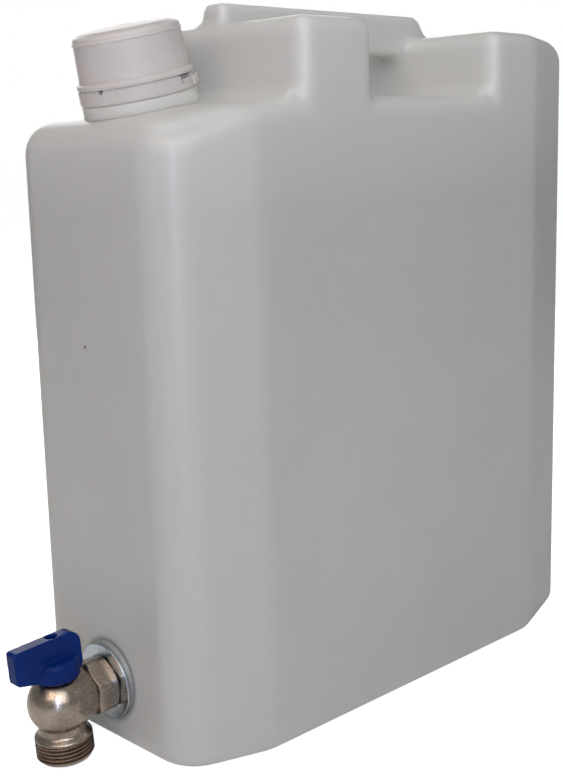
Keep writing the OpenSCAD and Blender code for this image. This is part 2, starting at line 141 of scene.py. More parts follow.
def lathe(bm, outline, matrix=None, steps=96, angle=2 * math.pi, start=0.0):
    """Spins a closed outline of (radius, height) points round local Z into a closed shell."""
    part = bmesh.new()
    verts = [part.verts.new((max(u, 0), 0, v)) for u, v in outline]
    edges = [part.edges.new((a, b)) for a, b in zip(verts, verts[1:] + verts[:1])]
    whole = angle >= 2 * math.pi
    geom = verts + edges
    if not whole:
        geom.append(part.faces.new(verts))
    spin = dict(cent=(0, 0, 0), axis=(0, 0, 1), dvec=(0, 0, 0), angle=angle, steps=steps)
    bmesh.ops.spin(part, geom=geom, use_merge=whole, use_duplicate=False, **spin)
    bmesh.ops.remove_doubles(part, verts=part.verts, dist=1e-4)
    bmesh.ops.recalc_face_normals(part, faces=part.faces)
    turn = Matrix.Rotation(start, 4, "Z")
    merge_into(bm, part, turn if matrix is None else matrix @ turn)


def helix(bm, section, pitch, turns, matrix=None, steps=60):
    """Sweeps a closed section of (radius, height) points up a screw into a closed ridge."""
    part = bmesh.new()
    verts = [part.verts.new((u, 0, v)) for u, v in section]
    start = part.faces.new(verts)
    count = round(turns * steps)
    bmesh.ops.spin(
        part,
        geom=[start] + verts + list(start.edges),
        cent=(0, 0, 0),
        axis=(0, 0, 1),
        dvec=(0, 0, pitch / steps),
        angle=2 * math.pi * turns,
        steps=count,
        use_merge=False,
        use_duplicate=False,
    )
    bmesh.ops.recalc_face_normals(part, faces=part.faces)
    merge_into(bm, part, matrix)


def prism(bm, outline, half, matrix=None):
    """Closed prism on an outline of (x, z) points, from -half to half along Y."""
    part = bmesh.new()
    face = part.faces.new([part.verts.new((u, -half, v)) for u, v in outline])
    made = bmesh.ops.extrude_face_region(part, geom=[face])
    far = [v for v in made["geom"] if isinstance(v, bmesh.types.BMVert)]
    bmesh.ops.translate(part, vec=(0, 2 * half, 0), verts=far)
    bmesh.ops.recalc_face_normals(part, faces=part.faces)
    merge_into(bm, part, matrix)


def rim(x, y, z, radius, edge):
    """Discs of a round plate with a rounded rim, each (x, y, z, radius), on both sides."""
    for a in range(-90, 91, 10):
        t = math.radians(a)
        for side in (-1, 1):
            yield x, side * y, z + edge * math.sin(t), radius - edge + edge * math.cos(t)


def bevelled(x, y, z, radius, edge):
    """Discs of a round plate with a sloping rim on top, on both sides."""
    for lift, inset in ((0, 0), (0.12, 0.03), (0.93, 0.8), (1, 1.05)):
        for side in (-1, 1):
            yield x, side * y, z + edge * lift, radius - edge * inset


def hull(bm, discs, steps=64):
    """Adds the convex hull of discs."""
    part = bmesh.new()
    for x, y, z, r in discs:
        place = Matrix.Translation((x, y, z))
        bmesh.ops.create_circle(part, cap_ends=False, segments=steps, radius=r, matrix=place)
    bmesh.ops.delete(part, geom=part.edges[:], context="EDGES_FACES")
    bmesh.ops.convex_hull(part, input=part.verts, use_existing_faces=False)
    used = {v for f in part.faces for v in f.verts}
    spare = [v for v in part.verts if v not in used]
    bmesh.ops.delete(part, geom=spare, context="VERTS")
    bmesh.ops.recalc_face_normals(part, faces=part.faces)
    merge_into(bm, part)


def evaluated(obj):
    """Applies an object's modifiers to its mesh."""
    graph = bpy.context.evaluated_depsgraph_get()
    mesh = bpy.data.meshes.new_from_object(obj.evaluated_get(graph))
    obj.modifiers.clear()
    obj.data = mesh
    return obj


def scratch_object(bm, name="scratch"):
    """Object with a bmesh's shape, linked to the scene."""
    mesh = bpy.data.meshes.new(name)
    bm.to_mesh(mesh)
    bm.free()
    obj = bpy.data.objects.new(name, mesh)
    bpy.context.scene.collection.objects.link(obj)
    return obj


def melt(bm, voxel, smooth):
    """Fuses overlapping closed shells into one with soft inside corners; returns a bmesh."""
    obj = scratch_object(bm)
    remesh = obj.modifiers.new("fuse", "REMESH")
    remesh.mode = "VOXEL"
    remesh.voxel_size = voxel
    soften = obj.modifiers.new("soften", "SMOOTH")
    soften.factor = 0.5
    soften.iterations = smooth
    evaluated(obj)
    out = bmesh.new()
    out.from_mesh(obj.data)
    bpy.data.objects.remove(obj)
    return out


def cut(bm, tool, operation="DIFFERENCE"):
    """Cuts a tool's closed shape out of a bmesh; returns the result."""
    obj, cutter = scratch_object(bm), scratch_object(tool, "tool")
    boolean = obj.modifiers.new("cut", "BOOLEAN")
    boolean.operation = operation
    boolean.solver = "EXACT"
    boolean.object = cutter
    evaluated(obj)
    out = bmesh.new()
    out.from_mesh(obj.data)
    bpy.data.objects.remove(obj)
    bpy.data.objects.remove(cutter)
    if not out.faces:
        raise RuntimeError("a cut left nothing of the piece")
    return out


def finish_piece(name, bm, place, body, material, nodes=(), sharp=40, bevel=0.0):
    """Turns a bmesh in local millimetres into a finished piece that stands for CAD nodes."""
    if bevel:
        edges = [
            e
            for e in bm.edges
            if len(e.link_faces) == 2 and e.calc_face_angle(0) > math.radians(sharp)
        ]
        bmesh.ops.bevel(
            bm,
            geom=edges,
            offset=bevel,
            offset_type="OFFSET",
            affect="EDGES",
            segments=2,
            profile=0.5,
            material=-1,
        )
    bmesh.ops.transform(bm, matrix=place, verts=bm.verts)
    mesh = bpy.data.meshes.new(name)
    bm.to_mesh(mesh)
    bm.free()
    mesh.shade_smooth()
    mesh.set_sharp_from_angle(angle=math.radians(sharp))
    mesh.materials.append(material)
    obj = bpy.data.objects.new(name, mesh)
    bpy.context.scene.collection.objects.link(obj)
    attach(obj, body)
    if nodes:
        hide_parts(*nodes)
    return obj


def node_copy(node):
    """Merged copy of a CAD node's mesh, in millimetres."""
    bm = bmesh.new()
    bm.from_mesh(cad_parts[node].data)
    bmesh.ops.transform(bm, matrix=Matrix.Scale(1 / MM, 4), verts=bm.verts)
    bmesh.ops.remove_doubles(bm, verts=bm.verts, dist=1e-3)
    return bm


def dress(node, material):
    """Gives a CAD node its material."""
    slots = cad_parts[node].material_slots
    if not slots:
        raise RuntimeError(f"{node} has no material slot")
    for item in slots:
        item.material = material


# Shader helpers


class Graph:
    """Short calls to add nodes to a tree and link them."""

    def __init__(self, tree):
        self.tree = tree

    def add(self, kind, values=None, **settings):
        made = self.tree.nodes.new(kind)
        for key, value in settings.items():
            setattr(made, key, value)
        for key, value in (values or {}).items():
            if isinstance(value, bpy.types.NodeSocket):
                self.tree.links.new(value, made.inputs[key])
            else:
                made.inputs[key].default_value = value
        return made

    def link(self, a, b):
        self.tree.links.new(a, b)


def new_group(name, inputs, outputs):
    """Empty shader group with named sockets; returns its graph, input and output nodes."""
    tree = bpy.data.node_groups.new(name, "ShaderNodeTree")
    for label, kind, value in inputs:
        item = tree.interface.new_socket(label, in_out="INPUT", socket_type=kind)
        if value is not None:
            item.default_value = value
    for label, kind in outputs:
        tree.interface.new_socket(label, in_out="OUTPUT", socket_type=kind)
    graph = Graph(tree)
    return graph, graph.add("NodeGroupInput"), graph.add("NodeGroupOutput")


def mottle_group():
    """Broad and fine cloudy variation between two colours."""
    made = bpy.data.node_groups.get("mottle")
    if made:
        return made
    graph, given, out = new_group(
        "mottle",
        [
            ("Vector", "NodeSocketVector", None),
            ("Colour A", "NodeSocketColor", (0.6, 0.6, 0.6, 1)),
            ("Colour B", "NodeSocketColor", (0.5, 0.5, 0.5, 1)),
            ("Broad Scale", "NodeSocketFloat", 10.0),
            ("Fine Scale", "NodeSocketFloat", 200.0),
            ("Fine Share", "NodeSocketFloat", 0.3),
        ],
        [("Color", "NodeSocketColor"), ("Mask", "NodeSocketFloat")],
    )
    broad = graph.add(
        "ShaderNodeTexNoise",
        {"Vector": given.outputs["Vector"], "Scale": given.outputs["Broad Scale"], "Detail": 3.0},
    )
    fine = graph.add(
        "ShaderNodeTexNoise",
        {"Vector": given.outputs["Vector"], "Scale": given.outputs["Fine Scale"], "Detail": 4.0},
    )
    both = graph.add(
        "ShaderNodeMix",
        {
            "Factor": given.outputs["Fine Share"],
            "A": broad.outputs["Fac"],
            "B": fine.outputs["Fac"],
        },
    )
    spread = graph.add(
        "ShaderNodeMapRange",
        {"Value": both.outputs["Result"], "From Min": 0.35, "From Max": 0.65},
    )
    colour = graph.add("ShaderNodeMix", data_type="RGBA")
    graph.link(spread.outputs["Result"], colour.inputs["Factor"])
    graph.link(given.outputs["Colour A"], colour.inputs["A"])
    graph.link(given.outputs["Colour B"], colour.inputs["B"])
    graph.link(colour.outputs["Result"], out.inputs["Color"])
    graph.link(spread.outputs["Result"], out.inputs["Mask"])
    return graph.tree


def grain_group():
    """Surface height from two noises, as a normal."""
    made = bpy.data.node_groups.get("surface_grain")
    if made:
        return made
    graph, given, out = new_group(
        "surface_grain",
        [
            ("Vector", "NodeSocketVector", None),
            ("Grain Scale", "NodeSocketFloat", 900.0),
            ("Grain Height", "NodeSocketFloat", 0.00002),
            ("Wave Scale", "NodeSocketFloat", 20.0),
            ("Wave Height", "NodeSocketFloat", 0.0002),
        ],
        [("Normal", "NodeSocketVector")],
    )
    heights = []
    for kind in ("Grain", "Wave"):
        noise = graph.add(
            "ShaderNodeTexNoise",
            {
                "Vector": given.outputs["Vector"],
                "Scale": given.outputs[f"{kind} Scale"],
                "Detail": 2.0,
            },
        )
        tall = graph.add("ShaderNodeMath", operation="MULTIPLY")
        graph.link(noise.outputs["Fac"], tall.inputs[0])
        graph.link(given.outputs[f"{kind} Height"], tall.inputs[1])
        heights.append(tall.outputs["Value"])
    total = graph.add("ShaderNodeMath", operation="ADD")
    graph.link(heights[0], total.inputs[0])
    graph.link(heights[1], total.inputs[1])
    bump = graph.add("ShaderNodeBump", {"Strength": 1.0, "Distance": 1.0})
    graph.link(total.outputs["Value"], bump.inputs["Height"])
    graph.link(bump.outputs["Normal"], out.inputs["Normal"])
    return graph.tree


def speck_and_shade_group():
    """Mask of one round disc at a place, in metres: a dark speck, and the painted shade round the washer."""
    made = bpy.data.node_groups.get("speck")
    if made:
        return made
    graph, given, out = new_group(
        "speck",
        [
            ("Vector", "NodeSocketVector", None),
            ("Place", "NodeSocketVector", None),
            ("Radius", "NodeSocketFloat", 0.001),
        ],
        [("Mask", "NodeSocketFloat")],
    )
    away = graph.add("ShaderNodeVectorMath", operation="DISTANCE")
    graph.link(given.outputs["Vector"], away.inputs[0])
    graph.link(given.outputs["Place"], away.inputs[1])
    share = graph.add("ShaderNodeMath", operation="DIVIDE")
    graph.link(away.outputs["Value"], share.inputs[0])
    graph.link(given.outputs["Radius"], share.inputs[1])
    ramp = graph.add(
        "ShaderNodeMapRange",
        {"Value": share.outputs["Value"], "From Min": 0.5, "From Max": 1.0, "To Min": 1.0, "To Max": 0.0},
    )
    graph.link(ramp.outputs["Result"], out.inputs["Mask"])
    return graph.tree


def new_material(name):
    """Material with a cleared tree; returns it, its graph, shader and Object coordinates."""
    material = bpy.data.materials.new(name)
    material.use_nodes = True
    material.node_tree.nodes.clear()
    graph = Graph(material.node_tree)
    shader = graph.add("ShaderNodeBsdfPrincipled")
    out = graph.add("ShaderNodeOutputMaterial")
    graph.link(shader.outputs["BSDF"], out.inputs["Surface"])
    place = graph.add("ShaderNodeTexCoord").outputs["Object"]
    return material, graph, shader, place


def finish_material(
    name,
    light,
    dark,
    roughness,
    metallic=0.0,
    broad=12.0,
    fine=250.0,
    fine_share=0.3,
    gloss_change=0.06,
    grain=(900.0, 0.000004),
    wave=(25.0, 0.0),
    settings=None,
):
    """Procedural finish: mottled colour, uneven gloss and surface grain."""
    material, graph, shader, place = new_material(name)
    cloud = graph.add("ShaderNodeGroup", node_tree=mottle_group())
    graph.link(place, cloud.inputs["Vector"])
    cloud.inputs["Colour A"].default_value = (*light, 1)
    cloud.inputs["Colour B"].default_value = (*dark, 1)
    cloud.inputs["Broad Scale"].default_value = broad
    cloud.inputs["Fine Scale"].default_value = fine
    cloud.inputs["Fine Share"].default_value = fine_share
    graph.link(cloud.outputs["Color"], shader.inputs["Base Color"])
    gloss = graph.add(
        "ShaderNodeMapRange",
        {
            "Value": cloud.outputs["Mask"],
            "To Min": roughness - gloss_change,
            "To Max": roughness + gloss_change,
        },
    )
    graph.link(gloss.outputs["Result"], shader.inputs["Roughness"])
    relief = graph.add("ShaderNodeGroup", node_tree=grain_group())
    graph.link(place, relief.inputs["Vector"])
    relief.inputs["Grain Scale"].default_value = grain[0]
    relief.inputs["Grain Height"].default_value = grain[1]
    relief.inputs["Wave Scale"].default_value = wave[0]
    relief.inputs["Wave Height"].default_value = wave[1]
    graph.link(relief.outputs["Normal"], shader.inputs["Normal"])
    shader.inputs["Metallic"].default_value = metallic
    for key, value in (settings or {}).items():
        shader.inputs[key].default_value = value
    return material


def cached(make):
    """Material that a function makes, made on its first use."""
    name = f"look_{make.__name__}"
    return bpy.data.materials.get(name) or make(name)


def can_plastic(name):
    look = bpy.context.scene.container_can
    plastic = finish_material(
        name,
        look.light_tint,
        look.dark_tint,
        look.roughness,
        broad=9.0,
        fine=160.0,
        fine_share=0.15,
        gloss_change=0.04,
        grain=(1400.0, 0.000006),
        wave=(16.0, 0.0006),
        settings={
            "Subsurface Weight": 0.6,
            "Subsurface Radius": (1.0, 0.96, 0.9),
            "Subsurface Scale": 0.022,
            "IOR": 1.5,
        },
    )
    tree = plastic.node_tree
    graph = Graph(tree)
    shader = next(n for n in tree.nodes if n.type == "BSDF_PRINCIPLED")
    place = next(n for n in tree.nodes if n.type == "TEX_COORD").outputs["Object"]
    colour = shader.inputs["Base Color"].links[0].from_socket
    # Painted glow: above a height, the top of the can, its blocks and grip bar are painted lighter, standing
    # in for light that comes through the plastic there
    height = graph.add("ShaderNodeSeparateXYZ", {"Vector": place}).outputs["Z"]
    thin = graph.add("ShaderNodeMapRange", {"Value": height, "From Min": 0.245, "From Max": 0.305})
    painted_glow = graph.add("ShaderNodeMix", data_type="RGBA")
    graph.link(thin.outputs["Result"], painted_glow.inputs["Factor"])
    graph.link(colour, painted_glow.inputs["A"])
    painted_glow.inputs["B"].default_value = (*look.painted_glow_tint, 1)
    # The speck that the can has on its front face
    spot = graph.add("ShaderNodeGroup", node_tree=speck_and_shade_group())
    graph.link(place, spot.inputs["Vector"])
    spot.inputs["Place"].default_value = look.speck_place
    spot.inputs["Radius"].default_value = 0.0011
    dirty = graph.add("ShaderNodeMix", data_type="RGBA")
    graph.link(spot.outputs["Mask"], dirty.inputs["Factor"])
    graph.link(painted_glow.outputs["Result"], dirty.inputs["A"])
    dirty.inputs["B"].default_value = (0.12, 0.1, 0.09, 1)
    # Painted shade: a dark blue-grey band painted on the wall round the washer, where the washer's shadow
    # falls
    washer_shade_disc = graph.add("ShaderNodeGroup", node_tree=speck_and_shade_group())
    graph.link(place, washer_shade_disc.inputs["Vector"])
    washer_shade_disc.inputs["Place"].default_value = TAP @ Vector((0, 0, 0))
    washer_shade_disc.inputs["Radius"].default_value = 0.0212
    edge = graph.add(
        "ShaderNodeMapRange", {"Value": washer_shade_disc.outputs["Mask"], "From Max": 0.3, "To Max": 0.75}
    )
    painted_washer_shade = graph.add("ShaderNodeMix", data_type="RGBA")
    graph.link(edge.outputs["Result"], painted_washer_shade.inputs["Factor"])
    graph.link(dirty.outputs["Result"], painted_washer_shade.inputs["A"])
    painted_washer_shade.inputs["B"].default_value = (0.12, 0.14, 0.15, 1)
    graph.link(painted_washer_shade.outputs["Result"], shader.inputs["Base Color"])
    return plastic


def cap_plastic(name):
    look = bpy.context.scene.container_cap
    return finish_material(
        name,
        look.light_tint,
        look.dark_tint,
        look.roughness,
        broad=40.0,
        fine=400.0,
        gloss_change=0.05,
        grain=(1800.0, 0.000004),
        wave=(60.0, 0.00008),
        settings={
            "Subsurface Weight": 0.3,
            "Subsurface Radius": (1.0, 0.92, 0.9),
            "Subsurface Scale": 0.006,
        },
    )


def nickel_brass(name):
    look = bpy.context.scene.container_tap
    return finish_material(
        name,
        look.metal_light,
        look.metal_dark,
        look.metal_roughness,
        metallic=1.0,
        broad=90.0,
        fine=900.0,
        fine_share=0.45,
        gloss_change=0.08,
        grain=(2600.0, 0.00003),
        wave=(260.0, 0.00008),
    )


def machined_nickel(name):
    look = bpy.context.scene.container_tap
    return finish_material(
        name,
        look.thread_light,
        look.thread_dark,
        0.3,
        metallic=1.0,
        broad=120.0,
        fine=1200.0,
        fine_share=0.4,
        gloss_change=0.08,
        grain=(3000.0, 0.00001),
    )


def bright_zinc(name):
    return finish_material(
        name,
        (0.58, 0.63, 0.67),
        (0.38, 0.43, 0.48),
        0.24,
        metallic=1.0,
        broad=70.0,
        fine=900.0,
        gloss_change=0.07,
        grain=(1600.0, 0.000006),
        wave=(120.0, 0.00005),
    )


def blue_coat(name):
    look = bpy.context.scene.container_tap
    return finish_material(
        name,
        look.lever_light,
        look.lever_dark,
        0.28,
        broad=60.0,
        fine=700.0,
        gloss_change=0.06,
        grain=(1500.0, 0.00002),
        wave=(180.0, 0.00005),
        settings={"Specular IOR Level": 0.1},
    )


def plain_brass(name):
    return finish_material(name, (0.75, 0.58, 0.29), (0.6, 0.44, 0.2), 0.3, metallic=1.0, broad=90.0)


def polished(name):
    return finish_material(name, (0.8, 0.8, 0.8), (0.7, 0.7, 0.71), 0.08, metallic=1.0, gloss_change=0.02)


def white_seat(name):
    return finish_material(name, (0.86, 0.86, 0.83), (0.8, 0.8, 0.78), 0.45)


def soft_foam(name):
    return finish_material(name, (0.84, 0.84, 0.81), (0.78, 0.78, 0.76), 0.8, grain=(2500.0, 0.00004))


def black_rubber(name):
    return finish_material(name, (0.03, 0.03, 0.03), (0.018, 0.018, 0.018), 0.65, grain=(1500.0, 0.00002))


# Settings that a user would change


class CanSettings(bpy.types.PropertyGroup):
    """Shape and finish of the can."""

    voxel: FloatProperty(
        name="Mesh step", description="Size of the faces of the can, in millimetres", default=2.25, min=1.5
    )
    softness: IntProperty(
        name="Softness", description="Rounds of smoothing over inside corners", default=4, min=0
    )
    light_tint: FloatVectorProperty(
        name="Light tint",
        description="Colour of the lighter patches of the plastic",
        default=(0.62, 0.613, 0.572),
        subtype="COLOR",
    )
    dark_tint: FloatVectorProperty(
        name="Dark tint",
        description="Colour of the darker patches of the plastic",
        default=(0.575, 0.57, 0.535),
        subtype="COLOR",
    )
    # Painted glow: a lighter colour painted on the top of the can, standing in for light that comes through
    # the plastic
    painted_glow_tint: FloatVectorProperty(
        name="Painted glow tint",
        description="Colour of the blocks and the grip bar, where more light comes through",
        default=(0.77, 0.76, 0.715),
        subtype="COLOR",
    )
    roughness: FloatProperty(
        name="Roughness", description="Roughness of the plastic", default=0.33, subtype="FACTOR"
    )
    speck_place: FloatVectorProperty(
        name="Speck",
        description="Place of the dark speck on the front face",
        default=(FRONT_X * MM, 0.0044, 0.187),
        subtype="TRANSLATION",
        unit="LENGTH",
    )


class CapSettings(bpy.types.PropertyGroup):
    """Finish of the cap and its ring."""

    light_tint: FloatVectorProperty(
        name="Light tint",
        description="Colour of the lighter patches of the cap",
        default=(0.6, 0.555, 0.54),
        subtype="COLOR",
    )
    dark_tint: FloatVectorProperty(
        name="Dark tint",
        description="Colour of the darker patches of the cap",
        default=(0.52, 0.485, 0.475),
        subtype="COLOR",
    )
    roughness: FloatProperty(
        name="Roughness", description="Roughness of the cap", default=0.38, subtype="FACTOR"
    )


class TapSettings(bpy.types.PropertyGroup):
    """Finish of the tap."""

    metal_light: FloatVectorProperty(
        name="Casting, light",
        description="Colour of the nickel on the casting",
        default=(0.46, 0.39, 0.33),
        subtype="COLOR",
    )
    metal_dark: FloatVectorProperty(
        name="Casting, dark",
        description="Colour of the casting where its nickel is thin",
        default=(0.26, 0.215, 0.175),
        subtype="COLOR",
    )
    metal_roughness: FloatProperty(
        name="Casting roughness", description="Roughness of the casting", default=0.27, subtype="FACTOR"
    )
    thread_light: FloatVectorProperty(
        name="Thread, light",
        description="Colour of the cut thread",
        default=(0.36, 0.28, 0.22),
        subtype="COLOR",
    )
    thread_dark: FloatVectorProperty(
        name="Thread, dark",
        description="Darker colour of the cut thread",
        default=(0.2, 0.15, 0.115),
        subtype="COLOR",
    )
    lever_light: FloatVectorProperty(
        name="Lever, light",
        description="Colour of the lever",
        default=(0.003, 0.023, 0.15),
        subtype="COLOR",
    )
    lever_dark: FloatVectorProperty(
        name="Lever, dark",
        description="Darker colour of the lever",
        default=(0.002, 0.015, 0.105),
        subtype="COLOR",
    )


class StudioSettings(bpy.types.PropertyGroup):
    """Light, floor and camera."""

    floor_tint: FloatVectorProperty(
        name="Floor", description="Colour of the floor", default=(0.93, 0.93, 0.93), subtype="COLOR"
    )
    floor_glow: FloatProperty(
        name="Floor glow", description="Light that the camera sees from the floor itself", default=0.82
    )
    sky: FloatProperty(
        name="Surround", description="Strength of the even light from all round", default=0.19
    )
    glossy_sky: FloatProperty(
        name="Reflected surround", description="Strength of the surround in reflections", default=0.3
    )
    key: FloatProperty(
        name="Key light", description="Power of the large light", default=4.2, unit="POWER"
    )
    front: FloatProperty(
        name="Front light", description="Power of the warm light before the tap", default=3.3, unit="POWER"
    )
    top: FloatProperty(
        name="Top light", description="Power of the light above the cap", default=3.0, unit="POWER"
    )
    back: FloatProperty(
        name="Back light", description="Power of the light behind the can", default=5.8, unit="POWER"
    )
    strip: FloatProperty(
        name="Strip light", description="Power of the narrow light near the camera", default=3.3, unit="POWER"
    )
    lens: FloatProperty(
        name="Lens", description="Focal length of the camera", default=57.48, unit="CAMERA"
    )


# Pieces


def inside_corner(radius, deep, steps=8):
    """Outline of the filling of an inside corner, towards +u and +v."""
    arc = [math.radians(270 - 90 * k / steps) for k in range(steps + 1)]
    curve = [(radius + radius * math.cos(t), radius + radius * math.sin(t)) for t in arc]
    return [(-deep, -deep), (radius, -deep)] + curve + [(-deep, radius)]


def corner_y(half, slope, r):
    """Distance from the middle plane to the centre of an upright corner rounding."""
    return half - r * (math.hypot(1, slope) - slope)


def crease_shift(slope, r):
    """Distance along the can from a sharp crease to the centre of its rounding."""
    return r * (math.hypot(1, slope) - 1) / slope


def can_forms():
    """Closed shells of the can: body, two blocks, grip bar and the fillings between them."""
    front_slope = (HALF_W - FRONT_HALF_W) / FRONT_TAPER
    rear_slope = (HALF_W - REAR_HALF_W) / REAR_TAPER
    front = (FRONT_X + FRONT_CORNER, corner_y(FRONT_HALF_W, front_slope, FRONT_CORNER), FRONT_CORNER)
    front_crease_x = FRONT_X + FRONT_TAPER + crease_shift(front_slope, CREASE_R)
    rear_crease_x = REAR_X - REAR_TAPER - crease_shift(rear_slope, CREASE_R)
    front_crease = (front_crease_x, HALF_W - CREASE_R, CREASE_R)
    rear_crease = (rear_crease_x, HALF_W - CREASE_R, CREASE_R)
    rear = (REAR_X - REAR_CORNER, corner_y(REAR_HALF_W, rear_slope, REAR_CORNER), REAR_CORNER)
    low = DECK_Z - 2 * DECK_EDGE - 8

    def top(x, r, edge):
        sunk = ((r - edge) * math.sin(SLOPE) + edge) / math.cos(SLOPE)
        return min(FRONT_HEIGHT + (x - FRONT_X) * math.tan(SLOPE) - sunk, DECK_Z - edge)

    bm = bmesh.new()
    discs = []
    for x, y, r in (front, front_crease, rear_crease, rear):
        edge = FRONT_EDGE if x == front[0] else DECK_EDGE
        discs += rim(x, y, BASE_EDGE, r, BASE_EDGE)
        discs += rim(x, y, top(x, r, edge), r, edge)
    discs += rim(BLOCK_X + 10, HALF_W - CREASE_R, DECK_Z - DECK_EDGE, CREASE_R, DECK_EDGE)
    hull(bm, discs)
    r = BLOCK_EDGE + 1
    discs = []
    for x in (BLOCK_X + r, BLOCK_X + BLOCK_LENGTH - r):
        discs += bevelled(x, HALF_W - r, FRONT_BLOCK_TOP - BLOCK_EDGE, r, BLOCK_EDGE)
        discs += [(x, side * (HALF_W - r), low, r) for side in (-1, 1)]
    hull(bm, discs)
    discs = list(bevelled(REAR_BLOCK_X + r, HALF_W - r, REAR_BLOCK_TOP - BLOCK_EDGE, r, BLOCK_EDGE))
    discs += rim(*rear_crease[:2], REAR_BLOCK_TOP - DECK_EDGE, CREASE_R, DECK_EDGE)
    discs += rim(*rear[:2], REAR_BLOCK_TOP - REAR_TOP_EDGE, REAR_CORNER, REAR_TOP_EDGE)
    for x, y, radius in ((REAR_BLOCK_X + r, HALF_W - r, r), rear_crease, rear):
        discs += [(x, side * y, low, radius) for side in (-1, 1)]
    hull(bm, discs)
    front_end, rear_end = BLOCK_X + 5, REAR_BLOCK_X + 22
    discs = []
    for x, z, e in (
        (front_end + 3, BAR_Z + 3, 3),
        (front_end + 4.2, BAR_TOP - 3, 3),
        (rear_end - 12, BAR_TOP - 4, 4),
        (rear_end - 4, REAR_BLOCK_TOP - 4.5, 4),
        (rear_end - 4, BAR_Z + 4, 4),
    ):
        discs += rim(x, BAR_HALF_W - e, z, e, e)
    hull(bm, discs, steps=48)
    flip = Matrix.Scale(-1, 4, (1, 0, 0))
    down = Matrix.Scale(-1, 4, (0, 0, 1))
    rear_of_block = BLOCK_X + BLOCK_LENGTH
    for x, z, turn, radius, deep, half in (
        (rear_of_block, DECK_Z, Matrix(), FOOT, 1, HALF_W - 5),
        (REAR_BLOCK_X, DECK_Z, flip, FOOT, 1, HALF_W - 5),
        (BLOCK_X, DECK_Z, flip, FOOT * 0.75, 3, HALF_W - 6),
        (rear_of_block, BAR_Z, down, FOOT * 0.6, 1, 5),
        (REAR_BLOCK_X, BAR_Z, flip @ down, FOOT * 0.6, 1, 5),
    ):
        prism(bm, inside_corner(radius, deep), half, Matrix.Translation((x, 0, z)) @ turn)
    bmesh.ops.recalc_face_normals(bm, faces=bm.faces)
    return bm


def drop_faces_near(bm, frame_matrix, radius, low, high, axis):
    """Opens a shell where it crosses a cylinder round a local axis."""
    into = (PLAIN.inverted() @ frame_matrix).inverted()
    gone = []
    for face in bm.faces:
        p = into @ face.calc_center_median()
        along, across = (p.z, math.hypot(p.x, p.y)) if axis == "Z" else (p.x, math.hypot(p.y, p.z))
        if low < along < high and across < radius:
            gone.append(face)
    if not gone:
        raise RuntimeError("an opening of the can met no faces")
    bmesh.ops.delete(bm, geom=gone, context="FACES")


def hollow(bm, wall):
    """Gives an open shell its wall, with coarser faces inside; returns the result."""
    obj = scratch_object(bm)
    inner = obj.vertex_groups.new(name="inner")
    solid = obj.modifiers.new("wall", "SOLIDIFY")
    solid.thickness = wall
    solid.offset = -1
    solid.use_rim = True
    solid.shell_vertex_group = "inner"
    thin = obj.modifiers.new("inside", "DECIMATE")
    thin.ratio = 0.62
    thin.vertex_group = "inner"
    thin.vertex_group_factor = 10
    evaluated(obj)
    out = bmesh.new()
    out.from_mesh(obj.data)
    bpy.data.objects.remove(obj)
    return out


def neck_shells(bm):
    """Neck with its collar, bead and thread."""
    to_body = PLAIN.inverted() @ NECK
    outline = rounded([
        (NECK_BORE, -1.9, 0),
        (COLLAR_R, -1.9, 0),
        (COLLAR_R, COLLAR_TOP, 1.4),
        (NECK_R, COLLAR_TOP, 0.6),
        (NECK_R, BEAD_Z, 0),
        (NECK_R + 1.2, BEAD_Z, 0.3),
        (NECK_R + 1.2, BEAD_Z + 0.8, 0.4),
        (NECK_R, BEAD_Z + 2, 0),
        (NECK_R, NECK_HEIGHT, 1.2),
        (NECK_BORE, NECK_HEIGHT, 0.8),
    ])
    lathe(bm, outline, to_body, steps=128)
    ridge = [(NECK_R - 0.5, -1.1), (NECK_R + 1.3, -0.35), (NECK_R + 1.3, 0.35), (NECK_R - 0.5, 1.1)]
    helix(bm, ridge, 4.0, 2.5, to_body @ Matrix.Translation((0, 0, 17.5)))


class WATERCAN_OT_can(bpy.types.Operator):
    """Makes the blow-moulded can with its grip, neck and tap pad"""

    bl_idname = "watercan.can"
    bl_label = "Can"

    def execute(self, context):
        look = context.scene.container_can
        shell = melt(can_forms(), look.voxel, look.softness)
        drop_faces_near(shell, NECK, 21, -6, 6, "Z")
        drop_faces_near(shell, TAP, 15, -6, 6, "X")
        shell = hollow(shell, WALL)
        neck_shells(shell)
        pad = [(10.78, -1.3, 0), (18.0, -1.3, 0.4), (18.9, 0.3, 0.9), (18.9, 3.45, 0.5), (10.78, 3.45, 0)]
        lathe(shell, rounded(pad), PLAIN.inverted() @ TAP @ ALONG_X)
        plastic = cached(can_plastic)
        finish_piece("can_shell", shell, PLAIN, "can_and_tap", plastic, ["container_body"])
        return {"FINISHED"}


